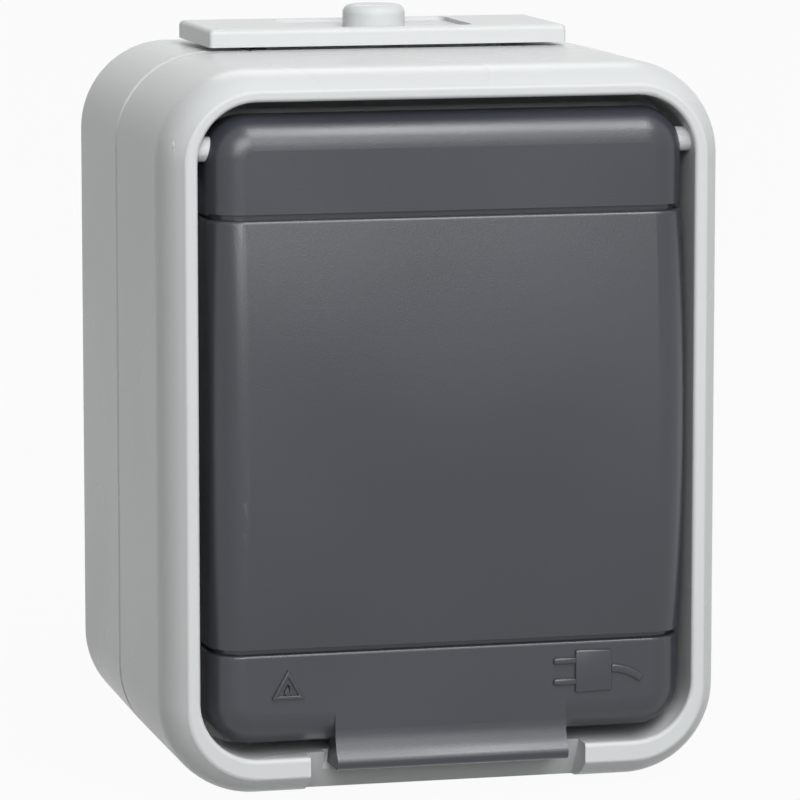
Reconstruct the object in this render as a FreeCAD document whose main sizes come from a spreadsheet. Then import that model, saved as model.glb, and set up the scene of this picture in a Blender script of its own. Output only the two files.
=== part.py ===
import FreeCAD, Part
import math
import os
import re
import Sketcher
from FreeCAD import Placement, Rotation, Vector

# A surface-mounted outdoor socket: a two-part grey housing that is screwed to a wall, a dark
# hinged lid that closes over a round earthed recess, and the contacts and clamps behind it.
#
# Every body is drawn facing the viewer. Its local x runs to the right and its local y runs up,
# both from the middle of the back face, and its local z is the depth in front of the wall.
# One placement then stands all of them upright.
#
# The round plug recess is the standard size that the rest is built around: the bezel, the
# seals, the lid, its window and the housing's sides each follow outwards by a named width.

SIZES = {
    # Socket face with its round recess
    "recess_radius": 19.75,
    "recess_depth": 17.5,
    "recess_wall": 1.65,
    "recess_floor": 2.5,
    "bezel_width": 3.25,
    "bezel_gap": 0.3,
    "bezel_proud": 0.8,
    "flange_overlap": 4.0,
    "flange_thickness": 2.0,
    "guide_width": 5.4,
    "guide_reach": 2.1,
    "guide_lead": 1.2,
    "pin_pitch": 19.0,
    "plug_hole_radius": 2.7,
    "mouth_round": 0.6,
    # Housing shell, seen from the front
    "housing_corner": 11.0,
    "shell_wall": 2.2,
    "back_wall": 2.5,
    "shell_draft": 0.6,
    "deck_depth": 43.5,
    "deck_thickness": 2.2,
    # Window for the lid, and the bevel from the rim round it to the flat sides
    "window_side_margin": 3.9,
    "window_top_margin": 3.7,
    "window_corner": 7.0,
    "window_depth": 10.5,
    "rim_edge_round": 0.5,
    "bevel_inset": 2.5,
    "bevel_depth": 6.05,
    # Seam between the two halves
    "seam_depth": 24.4,
    "seam_gap": 0.1,
    "seam_chamfer": 0.55,
    "seal_width": 0.9,
    "seal_depth": 1.2,
    "seal_inset": 0.8,
    # Finger notch under the lid's lip
    "notch_half_width": 16.6,
    "notch_drop": 3.0,
    "scoop_half_width": 14.3,
    "scoop_radius": 4.6,
    "scoop_below_window": 0.9,
    "scoop_sink": 0.1,
    # Screws that hold the front housing on
    "screw_side_margin": 10.5,
    "screw_end_margin": 10.5,
    "screw_shank_radius": 1.75,
    "screw_hole_clearance": 0.35,
    "screw_head_radius": 3.3,
    "screw_head_height": 2.2,
    "screw_head_round": 0.4,
    "screw_head_sink": 2.6,
    "screw_slot_half_width": 0.45,
    "screw_grip": 9.0,
    "screw_end_gap": 0.5,
    "boss_radius": 5.0,
    # Hinge
    "hinge_above_cavity": 5.15,
    "hinge_drop": 3.0,
    "pin_radius": 1.45,
    "pin_running_gap": 0.06,
    "pin_seat": 2.6,
    "long_pin_reach": 15.0,
    "short_pin_reach": 6.0,
    # Lid
    "lid_wall": 2.2,
    "lid_side_gap": 1.2,
    "lid_top_gap": 1.45,
    "lid_bottom_gap": 1.6,
    "lid_back_gap": 1.1,
    "lid_corner": 5.0,
    "lid_barrel": 4.0,
    "lid_bottom_room": 8.7,
    "cavity_top_room": 2.5,
    "upper_strip": 11.95,
    "lower_strip": 11.7,
    "crown_rise": 2.2,
    "panel_edge_rise": 0.4,
    "groove_width": 0.65,
    "groove_depth": 0.7,
    "groove_round": 0.45,
    # Lip that the finger lifts
    "lip_half_width": 13.9,
    "lip_reach": 2.9,
    "lip_flow_radius": 5.2,
    "lip_lean": 38.0,
    "lip_nose_radius": 0.9,
    "lip_thickness": 4.8,
    # Spring that closes the lid
    "spring_coil_radius": 1.95,
    "spring_wire_radius": 0.35,
    "spring_pitch": 0.95,
    "spring_turns": 6.0,
    "spring_room_gap": 0.5,
    "spring_start": 24.2,
    "spring_foot_gap": 0.02,
    "spring_deck_leg": 9.5,
    "spring_lid_leg": 3.6,
    "spring_leg_play": 0.1,
    # Rings of soft seal
    "collar_room": 1.0,
    "collar_wall": 1.2,
    "collar_reach": 6.6,
    "collar_side_room": 1.0,
    "lid_seal_skirt": 0.5,
    "lid_seal_grip": 1.0,
    "lid_seal_gap": 0.3,
    "face_seal_gap": 0.4,
    "face_seal_margin": 0.5,
    "face_seal_thickness": 1.0,
    # Contact base
    "base_size": 44.0,
    "base_corner": 6.0,
    "base_thickness": 14.0,
    "base_end_wall": 3.4,
    "base_centre_floor": 2.0,
    "ear_gap": 2.1,
    "ear_half_height": 4.5,
    "ear_corner": 3.5,
    "ear_thickness": 3.3,
    "ear_screw_inset": 3.9,
    "ear_seat_sink": 0.3,
    "post_radius": 3.6,
    "chamber_half_width": 4.2,
    "chamber_depth": 11.4,
    "chamber_up": 4.2,
    "wire_hole_radius": 2.6,
    # Contacts and clamps
    "strap_thickness": 0.8,
    "strap_half_width": 2.6,
    "sleeve_outer": 3.2,
    "sleeve_inner": 2.35,
    "sleeve_slit": 1.3,
    "sleeve_slit_rise": 2.4,
    "sleeve_height": 9.6,
    "sleeve_mouth_round": 0.28,
    "clamp_half_width": 3.7,
    "clamp_end_gap": 1.1,
    "clamp_height": 8.2,
    "clamp_bevel": 0.3,
    "clamp_thread_depth": 4.1,
    "clamp_screw_radius": 1.5,
    "clamp_screw_clearance": 0.2,
    "clamp_screw_end_gap": 0.3,
    "clamp_head_radius": 2.7,
    "clamp_head_height": 1.4,
    "clamp_wire_radius": 1.9,
    "face_screw_end_gap": 3.0,
    # Earth bow
    "bow_thickness": 0.8,
    "bow_half_width": 4.0,
    "bow_leg_half_width": 2.5,
    "bow_clearance": 0.4,
    "bow_turn_radius": 1.3,
    "bow_top_gap": 0.9,
    "bow_bulge_reach": 2.15,
    "bow_bulge_drop": 3.9,
    "bow_tip_drop": 3.9,
    "bow_slot_half_width": 2.9,
    "bow_slot_inset": 2.0,
    "bow_slot_sill": 1.0,
    # Cable entry piece in the top wall
    "entry_half_width": 22.1,
    "entry_length": 18.75,
    "entry_overlap": 0.35,
    "entry_gap": 0.45,
    "entry_height": 2.15,
    "entry_corner": 0.5,
    "entry_edge_round": 0.65,
    "entry_neck_half_width": 16.8,
    "entry_neck_inset": 4.4,
    "entry_throat_inset": 2.2,
    "entry_foot_half_width": 19.5,
    "entry_foot_thickness": 1.8,
    "entry_field_half_width": 11.0,
    "entry_field_depth": 0.45,
    "entry_field_margin": 1.9,
    "entry_field_corner": 1.2,
    "nub_radius": 3.8,
    "nub_place": 8.15,
    "nub_height": 2.75,
    "nub_round": 1.1,
    "nub_bore_radius": 2.6,
    "nub_skin": 1.0,
    # Wall fixing holes, and the blank knock-out below
    "wall_hole_radius": 2.3,
    "wall_hole_y": 32.0,
    "grommet_radius": 5.0,
    "grommet_height": 1.6,
    "knockout_radius": 8.0,
    "knockout_ring": 1.0,
    "knockout_groove": 0.8,
    "knockout_edge": 11.4,
}

# Widths, heights and depths that follow from the sizes above
FOLLOWS = {
    # Outwards from the recess to the housing's sides
    "recess_outer": "recess_radius + recess_wall",
    "deck_hole_radius": "recess_radius + bezel_width",
    "flange_radius": "deck_hole_radius + flange_overlap",
    "collar_inner": "deck_hole_radius + collar_room",
    "collar_outer": "collar_inner + collar_wall",
    "lid_half_width": "collar_outer + collar_side_room + lid_wall",
    "window_half_width": "lid_half_width + lid_side_gap",
    "side": "window_half_width + window_side_margin",
    # Upwards and downwards from the recess
    "lid_cavity_top": "collar_outer + lid_seal_skirt + cavity_top_room",
    "hinge_height": "lid_cavity_top + hinge_above_cavity",
    "lid_top": "hinge_height + lid_barrel",
    "panel_top": "lid_top - upper_strip",
    "window_top": "lid_top + lid_top_gap",
    "housing_top": "window_top + window_top_margin",
    "lid_bottom": "collar_outer + lid_wall + lid_bottom_room",
    "panel_bottom": "lid_bottom - lower_strip",
    "window_bottom": "lid_bottom + lid_bottom_gap",
    "scoop_centre_drop": "window_bottom + scoop_below_window",
    "screw_x": "side - screw_side_margin",
    "screw_y": "housing_top - screw_end_margin",
    # Depths of the housing and the lid
    "deck_back": "deck_depth - deck_thickness",
    "rim_depth": "deck_depth + window_depth",
    "shoulder_depth": "rim_depth - bevel_depth",
    "notch_top_depth": "rim_depth - notch_drop",
    "scoop_centre_depth": "rim_depth - scoop_sink",
    "hinge_depth": "rim_depth - hinge_drop",
    "lid_back": "deck_depth + lid_back_gap",
    "lid_front": "hinge_depth + lid_barrel",
    "lid_inner": "lid_front - lid_wall",
    "collar_end": "lid_inner - collar_reach",
    "panel_crown": "lid_front + crown_rise",
    # Depths of the socket face and what is screwed on behind it
    "bezel_front": "deck_depth + bezel_proud",
    "recess_bottom": "bezel_front - recess_depth",
    "recess_back": "recess_bottom - recess_floor",
    "flange_front": "deck_back - face_seal_thickness",
    "flange_back": "flange_front - flange_thickness",
    "base_front": "recess_back",
    "base_back": "base_front - base_thickness",
    "ear_seat": "base_back + ear_thickness - ear_seat_sink",
    "ear_reach": "side - shell_wall - ear_gap",
    "ear_screw_x": "ear_reach - ear_screw_inset",
    "chamber_floor": "base_front - chamber_depth",
    "chamber_down": "base_size / 2 - base_end_wall",
    "strap_top": "chamber_floor + strap_thickness",
    "clamp_front": "strap_top + clamp_height",
    "clamp_centre": "chamber_down - clamp_end_gap - clamp_half_width",
    "wire_depth": "strap_top + clamp_height / 2",
    "earth_room_left": "bow_half_width - bow_thickness - bow_clearance",
    "bow_leg": "recess_outer + bow_clearance",
    "bow_top_depth": "flange_back - bow_top_gap",
    "bow_bulge": "recess_radius - bow_bulge_reach",
    "bow_bulge_depth": "bow_top_depth - bow_bulge_drop",
    "bow_tip_depth": "bow_bulge_depth - bow_tip_drop",
    # Cable entry
    "entry_front": "seam_depth + entry_overlap",
    "entry_back": "entry_front - entry_length",
    "entry_neck_back": "entry_back + entry_neck_inset",
    "entry_neck_front": "seam_depth - 2 * seam_gap",
    "entry_bottom": "housing_top + entry_gap",
    "entry_top": "entry_bottom + entry_height",
    "entry_floor": "entry_top - entry_field_depth",
    "entry_foot_top": "housing_top - shell_wall - bezel_gap",
    "nub_depth": "entry_front - nub_place",
    "knockout_centre": "seam_depth - knockout_edge",
    # The arch is part of a circle that passes through the panel's edges and its crown
    "arch_rise": "panel_crown - lid_front - panel_edge_rise",
    "arch_half_span": "(panel_top + panel_bottom) / 2",
    "arch_radius": "(arch_half_span * arch_half_span + arch_rise * arch_rise) / (2 * arch_rise)",
    # The lip flows out of the lid's front in one arc and ends in a round nose
    "lip_bottom": "lid_bottom + lip_reach",
    "lip_nose_start": "lip_bottom - lip_nose_radius * (1 + sin(lip_lean))",
    "lip_top": "lip_nose_start - lip_flow_radius * sin(lip_lean)",
    "lip_nose_front": "lid_front + lip_flow_radius * (1 - cos(lip_lean))",
    "lip_nose_back": "lip_nose_front - lip_nose_radius * cos(lip_lean)",
    # The coil turns until its lid leg points straight down, and so its length follows
    "spring_foot_depth": "hinge_depth - deck_depth - spring_wire_radius - spring_foot_gap",
    "spring_slant": "asin(spring_foot_depth / hypot(spring_coil_radius; spring_deck_leg))"
                    " - atan(spring_coil_radius / spring_deck_leg)",
    "spring_length": "spring_pitch * (spring_turns + 0.5 - spring_slant / (360 deg))",
    "spring_end": "-spring_start + spring_length",
    "spring_room_start": "-spring_start - spring_wire_radius - spring_room_gap",
    "spring_room_width": "spring_length + 2 * (spring_wire_radius + spring_room_gap)",
}

doc = FreeCAD.newDocument("outdoor_socket")
sheet = doc.addObject("Spreadsheet::Sheet", "size")
for row, (word, number) in enumerate(SIZES.items(), 1):
    sheet.set(f"A{row}", word)
    sheet.set(f"B{row}", str(number))
    sheet.setAlias(f"B{row}", word)
doc.recompute()

UPRIGHT = Placement(Vector(0, 0, 0), Rotation(Vector(1, 0, 0), 90))


def bind(text):
    """Point the words of a formula at the cells of the sheet, by way of what they follow from."""
    def cell(match):
        word = match.group()
        if word in FOLLOWS:
            return f"({bind(FOLLOWS[word])})"
        return "size." + word if word in SIZES else word
    return re.sub(r"[a-z_]+", cell, text)


def value(text):
    """The number that a formula in sheet words gives now."""
    return float(sheet.evalExpression(bind(text)))


def new_body(name):
    body = doc.addObject("PartDesign::Body", name)
    body.Label = name
    body.Placement = UPRIGHT
    return body


def new_sketch(body, role, name, offset="0", shift="0"):
    """A sketch on one of the body's own origin planes, moved along the plane's normal by offset."""
    sketch = body.newObject("Sketcher::SketchObject", name)
    plane = [feature for feature in body.Origin.OriginFeatures if feature.Role == role][0]
    sketch.AttachmentSupport = [(plane, "")]
    sketch.MapMode = "FlatFace"
    sketch.AttachmentOffset = Placement(Vector(0, value(shift), value(offset)), Rotation())
    sketch.setExpression(".AttachmentOffset.Base.z", bind(offset))
    sketch.setExpression(".AttachmentOffset.Base.y", bind(shift))
    return sketch


def hold(sketch, geometry, end, x, y):
    """Hold one point of the sketch at (x, y), both written as formulas."""
    for kind, axis, text in (("DistanceX", -2, x), ("DistanceY", -1, y)):
        if text == "0":
            sketch.addConstraint(Sketcher.Constraint("PointOnObject", geometry, end, axis))
        else:
            number = sketch.addConstraint(Sketcher.Constraint(kind, -1, 1, geometry, end, value(text)))
            sketch.setExpression(f"Constraints[{number}]", bind(text))


def arc_between(start, finish, radius, turn):
    """The short arc from start to finish: turn 1 bulges to the right of the way, -1 to the left."""
    chord = finish - start
    half = chord.Length / 2
    rise = math.sqrt(max(radius * radius - half * half, 0))
    across = Vector(-chord.y, chord.x, 0).normalize()
    centre = (start + finish) / 2 + across * rise * turn
    whole = Part.Circle(centre, Vector(0, 0, 1), radius)
    return Part.ArcOfCircle(whole, *sweep_angles(centre, start, finish, turn))


def sweep_angles(centre, start, finish, turn):
    first, last = (start, finish) if turn > 0 else (finish, start)
    begin = math.atan2(first.y - centre.y, first.x - centre.x)
    end = math.atan2(last.y - centre.y, last.x - centre.x)
    return begin, end if end > begin else end + 2 * math.pi


def outline(sketch, points):
    """A closed outline. A point is (x, y), or (x, y, radius, turn) where an arc leads to it."""
    places = [Vector(value(point[0]), value(point[1]), 0) for point in points]
    ends = []
    for number, point in enumerate(points):
        start = places[number - 1]
        finish = places[number]
        if len(point) == 2:
            geometry = sketch.addGeometry(Part.LineSegment(start, finish), False)
            ends.append((geometry, 1, 2))
        else:
            radius, turn = point[2], point[3]
            arc = arc_between(start, finish, value(radius), turn)
            geometry = sketch.addGeometry(arc, False)
            ends.append((geometry, 1, 2) if turn > 0 else (geometry, 2, 1))
            held = sketch.addConstraint(Sketcher.Constraint("Radius", geometry, value(radius)))
            sketch.setExpression(f"Constraints[{held}]", bind(radius))
    for number, (geometry, start_end, finish_end) in enumerate(ends):
        following = ends[(number + 1) % len(ends)]
        sketch.addConstraint(Sketcher.Constraint("Coincident", geometry, finish_end, following[0], following[1]))
        hold(sketch, geometry, finish_end, points[number][0], points[number][1])


def rectangle(sketch, left, right, bottom, top):
    outline(sketch, [(right, bottom), (right, top), (left, top), (left, bottom)])


def rounded_rectangle(sketch, left, right, bottom, top, radius):
    near_left, near_right = f"{left} + ({radius})", f"{right} - ({radius})"
    near_bottom, near_top = f"{bottom} + ({radius})", f"{top} - ({radius})"
    outline(sketch, [
        (near_right, bottom),
        (right, near_bottom, radius, 1),
        (right, near_top),
        (near_right, top, radius, 1),
        (near_left, top),
        (left, near_top, radius, 1),
        (left, near_bottom),
        (near_left, bottom, radius, 1),
    ])


def circle(sketch, x, y, radius):
    centre = Vector(value(x), value(y), 0)
    geometry = sketch.addGeometry(Part.Circle(centre, Vector(0, 0, 1), value(radius)), False)
    hold(sketch, geometry, 3, x, y)
    held = sketch.addConstraint(Sketcher.Constraint("Radius", geometry, value(radius)))
    sketch.setExpression(f"Constraints[{held}]", bind(radius))


def extrude(kind, body, sketch, name, length, reverse=False, middle=False):
    feature = body.newObject("PartDesign::" + kind, name)
    feature.Profile = sketch
    feature.Length = value(length)
    feature.setExpression("Length", bind(length))
    feature.Reversed = reverse
    if middle:
        feature.SideType = "Symmetric"
    sketch.Visibility = False
    return feature


def pad(body, sketch, name, length, reverse=False, middle=False):
    return extrude("Pad", body, sketch, name, length, reverse, middle)


def pocket(body, sketch, name, length, reverse=False, middle=False):
    return extrude("Pocket", body, sketch, name, length, reverse, middle)


def spin(kind, body, sketch, name, axis, angle="360", middle=False):
    feature = body.newObject("PartDesign::" + kind, name)
    feature.Profile = sketch
    feature.ReferenceAxis = (sketch, [axis])
    feature.Angle = value(angle)
    feature.setExpression("Angle", bind(angle))
    feature.Midplane = middle
    sketch.Visibility = False
    return feature


def edge_names(feature, test):
    """The names of the feature's edges whose middle point passes the test."""
    doc.recompute()
    names = []
    for number, edge in enumerate(feature.Shape.Edges, 1):
        middle = edge.valueAt((edge.FirstParameter + edge.LastParameter) / 2)
        if test(middle):
            names.append(f"Edge{number}")
    return names


def round_edges(body, feature, name, radius, test):
    rounded = body.newObject("PartDesign::Fillet", name)
    rounded.Base = (feature, edge_names(feature, test))
    rounded.Radius = value(radius)
    rounded.setExpression("Radius", bind(radius))
    return rounded


def bevel_edges(body, feature, name, size, test):
    bevelled = body.newObject("PartDesign::Chamfer", name)
    bevelled.Base = (feature, edge_names(feature, test))
    bevelled.Size = value(size)
    bevelled.setExpression("Size", bind(size))
    return bevelled


def near(number, text, slack=0.02):
    return abs(number - value(text)) < slack


def housing_screw_places():
    return [("-screw_x", "screw_y"), ("screw_x", "-screw_y")]


def wall_hole_places():
    return [("0", "wall_hole_y"), ("0", "-wall_hole_y")]


# Back box: an open tray with the wall holes, the screw posts and a slot for the cable entry
def make_back_box():
    body = new_body("back_box")
    face = new_sketch(body, "XY_Plane", "back_outline", "seam_depth - seam_gap")
    rounded_rectangle(face, "-side", "side", "-housing_top", "housing_top", "housing_corner")
    block = pad(body, face, "back_block", "seam_depth - seam_gap", reverse=True)
    block.TaperAngle = -value("shell_draft")
    block.setExpression("TaperAngle", bind("-shell_draft"))
    bevel_edges(body, block, "back_seam_chamfer", "seam_chamfer",
                lambda p: near(p.z, "seam_depth - seam_gap"))

    inside = new_sketch(body, "XY_Plane", "back_inside", "seam_depth - seam_gap")
    rounded_rectangle(inside, "-side + shell_wall", "side - shell_wall",
                      "-housing_top + shell_wall", "housing_top - shell_wall", "housing_corner - shell_wall")
    pocket(body, inside, "back_hollow", "seam_depth - seam_gap - back_wall")

    posts = new_sketch(body, "XY_Plane", "back_posts", "back_wall")
    for x, y in housing_screw_places():
        circle(posts, x, y, "boss_radius")
    pad(body, posts, "back_tall_posts", "seam_depth - 2 * seam_gap - back_wall")
    ear_posts = new_sketch(body, "XY_Plane", "back_ear_posts", "back_wall")
    for x in ("-ear_screw_x", "ear_screw_x"):
        circle(ear_posts, x, "0", "post_radius")
    pad(body, ear_posts, "back_short_posts", "base_back - back_wall")

    pilot = new_sketch(body, "XY_Plane", "back_pilot_holes", "seam_depth - seam_gap")
    for x, y in housing_screw_places():
        circle(pilot, x, y, "screw_shank_radius")
    pocket(body, pilot, "back_screw_bores", "screw_grip + seam_gap")
    ear_pilot = new_sketch(body, "XY_Plane", "back_ear_pilots", "base_back")
    for x in ("-ear_screw_x", "ear_screw_x"):
        circle(ear_pilot, x, "0", "screw_shank_radius")
    pocket(body, ear_pilot, "back_ear_bores", "base_back - back_wall")

    holes = new_sketch(body, "XY_Plane", "back_wall_holes", "back_wall")
    for x, y in wall_hole_places():
        circle(holes, x, y, "wall_hole_radius")
    pocket(body, holes, "back_wall_bores", "back_wall")

    slot = new_sketch(body, "XY_Plane", "back_entry_slot", "seam_depth - seam_gap")
    rectangle(slot, "-entry_neck_half_width - bezel_gap", "entry_neck_half_width + bezel_gap",
              "housing_top - 2 * shell_wall", "housing_top + shell_wall")
    pocket(body, slot, "back_entry_opening", "seam_depth - seam_gap - entry_neck_back + bezel_gap")

    ring = new_sketch(body, "XZ_Plane", "back_knockout", "housing_top")
    circle(ring, "0", "knockout_centre", "knockout_radius")
    circle(ring, "0", "knockout_centre", "knockout_radius - knockout_ring")
    pocket(body, ring, "back_knockout_groove", "knockout_groove")
    return body


# Front housing: a shell with a bevelled rim, a window for the lid and a deck behind the window
def make_front_housing():
    body = new_body("front_housing")
    face = new_sketch(body, "XY_Plane", "front_outline", "seam_depth")
    rounded_rectangle(face, "-side", "side", "-housing_top", "housing_top", "housing_corner")
    block = pad(body, face, "front_block", "rim_depth - seam_depth")
    bevel_edges(body, block, "front_seam_chamfer", "seam_chamfer",
                lambda p: near(p.z, "seam_depth"))

    path = new_sketch(body, "XY_Plane", "bevel_path", "shoulder_depth")
    corner = "housing_corner"
    outline(path, [
        ("-side", f"-housing_top + {corner}"),
        (f"-side + {corner}", "-housing_top", corner, 1),
        (f"side - {corner}", "-housing_top"),
        ("side", f"-housing_top + {corner}", corner, 1),
        ("side", f"housing_top - {corner}"),
        (f"side - {corner}", "housing_top", corner, 1),
        (f"-side + {corner}", "housing_top"),
        ("-side", f"housing_top - {corner}", corner, 1),
        ("-side", "0"),
    ])
    section = new_sketch(body, "XZ_Plane", "bevel_section")
    bevel_radius = "(bevel_inset * bevel_inset + bevel_depth * bevel_depth) / (2 * bevel_inset)"
    outline(section, [
        ("-side + bevel_inset", "rim_depth + bevel_inset"),
        ("-side - bevel_inset", "rim_depth + bevel_inset"),
        ("-side - bevel_inset", "shoulder_depth"),
        ("-side", "shoulder_depth"),
        ("-side + bevel_inset", "rim_depth", bevel_radius, -1),
    ])
    bevel = body.newObject("PartDesign::SubtractivePipe", "front_bevel")
    bevel.Profile = section
    bevel.Spine = (path, [])

    window = new_sketch(body, "XY_Plane", "front_window", "rim_depth")
    rounded_rectangle(window, "-window_half_width", "window_half_width",
                      "-window_bottom", "window_top", "window_corner")
    opened = pocket(body, window, "front_window_pocket", "rim_depth - deck_depth")
    round_edges(body, opened, "front_rim_edges", "rim_edge_round", lambda p: near(p.z, "rim_depth"))

    inside = new_sketch(body, "XY_Plane", "front_inside", "seam_depth")
    rounded_rectangle(inside, "-side + shell_wall", "side - shell_wall",
                      "-housing_top + shell_wall", "housing_top - shell_wall", "housing_corner - shell_wall")
    pocket(body, inside, "front_hollow", "deck_back - seam_depth", reverse=True)

    hole = new_sketch(body, "XY_Plane", "front_deck_hole", "deck_depth")
    circle(hole, "0", "0", "deck_hole_radius")
    pocket(body, hole, "front_deck_opening", "deck_thickness")

    bosses = new_sketch(body, "XY_Plane", "front_bosses", "seam_depth")
    for x, y in housing_screw_places():
        circle(bosses, x, y, "boss_radius")
    pad(body, bosses, "front_screw_bosses", "deck_back - seam_depth")
    bores = new_sketch(body, "XY_Plane", "front_screw_holes", "deck_depth")
    for x, y in housing_screw_places():
        circle(bores, x, y, "screw_shank_radius + screw_hole_clearance")
    pocket(body, bores, "front_screw_bores", "deck_depth - seam_depth")
    sinks = new_sketch(body, "XY_Plane", "front_screw_sinks", "deck_depth")
    for x, y in housing_screw_places():
        circle(sinks, x, y, "screw_head_radius + screw_hole_clearance")
    pocket(body, sinks, "front_screw_seats", "screw_head_sink")

    groove = new_sketch(body, "XY_Plane", "front_seal_groove", "seam_depth")
    for inset in ("seal_inset", "seal_inset + seal_width"):
        rounded_rectangle(groove, f"-side + {inset}", f"side - ({inset})",
                          f"-housing_top + {inset}", f"housing_top - ({inset})", f"housing_corner - ({inset})")
    pocket(body, groove, "front_seal_channel", "seal_depth", reverse=True)

    pins = new_sketch(body, "YZ_Plane", "front_pin_seats")
    circle(pins, "hinge_height", "hinge_depth", "pin_radius")
    pocket(body, pins, "front_pin_bores", "2 * (window_half_width + pin_seat)", middle=True)

    notch = new_sketch(body, "YZ_Plane", "front_notch")
    spare = "shell_wall * (notch_top_depth - shoulder_depth) / (housing_top - window_bottom)"
    outline(notch, [
        ("-housing_top - shell_wall", "rim_depth + bevel_inset"),
        ("-housing_top - shell_wall", f"shoulder_depth - {spare}"),
        ("-window_bottom + shell_wall", f"notch_top_depth + {spare}"),
        ("-window_bottom + shell_wall", "rim_depth + bevel_inset"),
    ])
    pocket(body, notch, "front_notch_cut", "2 * notch_half_width", middle=True)
    scoop = new_sketch(body, "YZ_Plane", "front_scoop")
    circle(scoop, "-scoop_centre_drop", "scoop_centre_depth", "scoop_radius")
    pocket(body, scoop, "front_scoop_cut", "2 * scoop_half_width", middle=True)
    return body


def make_housing_seal():
    body = new_body("housing_seal")
    ring = new_sketch(body, "XY_Plane", "seal_ring", "seam_depth")
    for inset in ("seal_inset", "seal_inset + seal_width"):
        rounded_rectangle(ring, f"-side + {inset}", f"side - ({inset})",
                          f"-housing_top + {inset}", f"housing_top - ({inset})", f"housing_corner - ({inset})")
    pad(body, ring, "seal_cord", "seal_depth")
    return body


# Cable entry: a grooved piece that slides into the top wall, with a nub to be pierced
def make_entry_plate():
    body = new_body("entry_plate")
    flange = new_sketch(body, "XZ_Plane", "entry_flange", "-entry_bottom")
    rounded_rectangle(flange, "-entry_half_width", "entry_half_width",
                      "entry_back", "entry_front", "entry_corner")
    plate = pad(body, flange, "entry_cover", "entry_height", reverse=True)
    round_edges(body, plate, "entry_cover_edge", "entry_edge_round", lambda p: near(p.y, "entry_top"))

    # The neck fills the slot in the wall, and the throat above it stands back under the cover
    neck = new_sketch(body, "XZ_Plane", "entry_neck", "-housing_top")
    rectangle(neck, "-entry_neck_half_width", "entry_neck_half_width", "entry_neck_back", "entry_neck_front")
    throat = new_sketch(body, "XZ_Plane", "entry_throat", "-housing_top")
    inset = "entry_throat_inset"
    rectangle(throat, f"-entry_neck_half_width + {inset}", f"entry_neck_half_width - {inset}",
              f"entry_neck_back + {inset}", f"entry_neck_front - {inset}")
    pad(body, throat, "entry_throat_block", "entry_gap", reverse=True)
    pad(body, neck, "entry_neck_block", "housing_top - entry_foot_top")
    foot = new_sketch(body, "XZ_Plane", "entry_foot", "-entry_foot_top")
    rectangle(foot, "-entry_foot_half_width", "entry_foot_half_width", "entry_back", "entry_neck_front")
    pad(body, foot, "entry_foot_plate", "entry_foot_thickness")

    field = new_sketch(body, "XZ_Plane", "entry_field", "-entry_top")
    rounded_rectangle(field, "-entry_field_half_width", "entry_field_half_width",
                      "entry_back + entry_field_margin", "entry_front - entry_field_margin",
                      "entry_field_corner")
    pocket(body, field, "entry_field_recess", "entry_field_depth", reverse=True)
    nub = new_sketch(body, "XZ_Plane", "entry_nub", "-entry_floor")
    circle(nub, "0", "nub_depth", "nub_radius")
    raised = pad(body, nub, "entry_nub_block", "nub_height", reverse=True)
    round_edges(body, raised, "entry_nub_edge", "nub_round", lambda p: near(p.y, "entry_floor + nub_height"))
    foot_bottom = "entry_foot_top - entry_foot_thickness"
    bore = new_sketch(body, "XZ_Plane", "entry_bore", f"-({foot_bottom})")
    circle(bore, "0", "nub_depth", "nub_bore_radius")
    pocket(body, bore, "entry_blind_bore", f"entry_floor + nub_height - nub_skin - ({foot_bottom})")
    return body


def groove_section(sketch):
    """The room all round the lid that a groove takes: outside its skin less the groove's depth."""
    far_side = "lid_half_width + groove_depth"
    near_side = "lid_half_width - groove_depth"
    flat = "lid_half_width - lid_barrel"
    shoulder = "lid_barrel - groove_depth"
    outline(sketch, [
        (far_side, "lid_back"),
        (far_side, "panel_crown"),
        (f"-({far_side})", "panel_crown"),
        (f"-({far_side})", "lid_back"),
        (f"-({near_side})", "lid_back"),
        (f"-({near_side})", "lid_front - lid_barrel"),
        (f"-({flat})", "lid_front - groove_depth", shoulder, -1),
        (flat, "lid_front - groove_depth"),
        (near_side, "lid_front - lid_barrel", shoulder, -1),
        (near_side, "lid_back"),
    ])


def outside_groove(point):
    """Whether a point of the lid lies on its skin and not on the floor of a groove."""
    across = max(abs(point.x) - value("lid_half_width - lid_barrel"), 0)
    forward = max(point.z - value("lid_front - lid_barrel"), 0)
    return math.hypot(across, forward) > value("lid_barrel - groove_depth / 2")


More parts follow.
